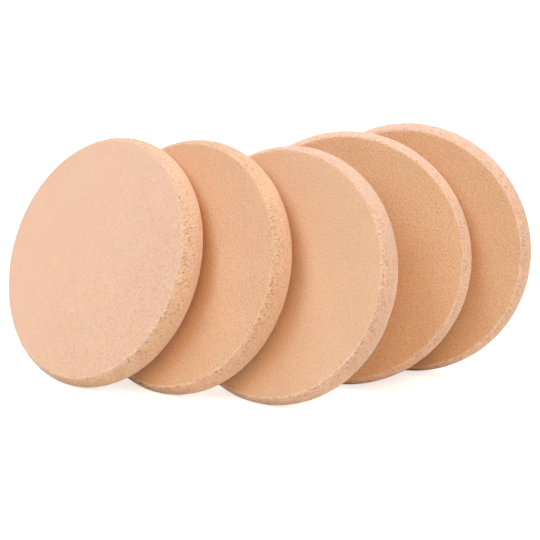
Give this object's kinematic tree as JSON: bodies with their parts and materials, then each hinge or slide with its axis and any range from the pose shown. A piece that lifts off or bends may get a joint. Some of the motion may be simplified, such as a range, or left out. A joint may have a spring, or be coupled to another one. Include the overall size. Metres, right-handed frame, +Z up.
{
  "type": "makeup sponge set",
  "caption": "Round flat foam makeup sponges standing on edge in a fanned row, each leaning back on the next, for blending cream and powder. Each one lifts off the one behind it.",
  "frame": {"origin": "on the table, under the middle of the row's bounding box", "axes": "+X along the row, towards the back sponge, +Y away from the viewer, +Z up"},
  "size_m": [0.125, 0.0548, 0.0589],
  "materials": {
    "foam": "matt pale peach latex foam with fine open pores"
  },
  "bodies": {
    "back": {"back_sponge": "foam"},
    "fourth": {"fourth_sponge": "foam"},
    "middle": {"middle_sponge": "foam"},
    "second": {"second_sponge": "foam"},
    "front": {"front_sponge": "foam"}
  },
  "joints": [
    {"name": "fourth_lift", "type": "slide", "parent": "back", "child": "fourth", "axis": [0, 0, 1], "range_m": [0, 0.07]},
    {"name": "middle_lift", "type": "slide", "parent": "fourth", "child": "middle", "axis": [0, 0, 1], "range_m": [0, 0.07]},
    {"name": "second_lift", "type": "slide", "parent": "middle", "child": "second", "axis": [0, 0, 1], "range_m": [0, 0.07]},
    {"name": "front_lift", "type": "slide", "parent": "second", "child": "front", "axis": [0, 0, 1], "range_m": [0, 0.07]}
  ]
}
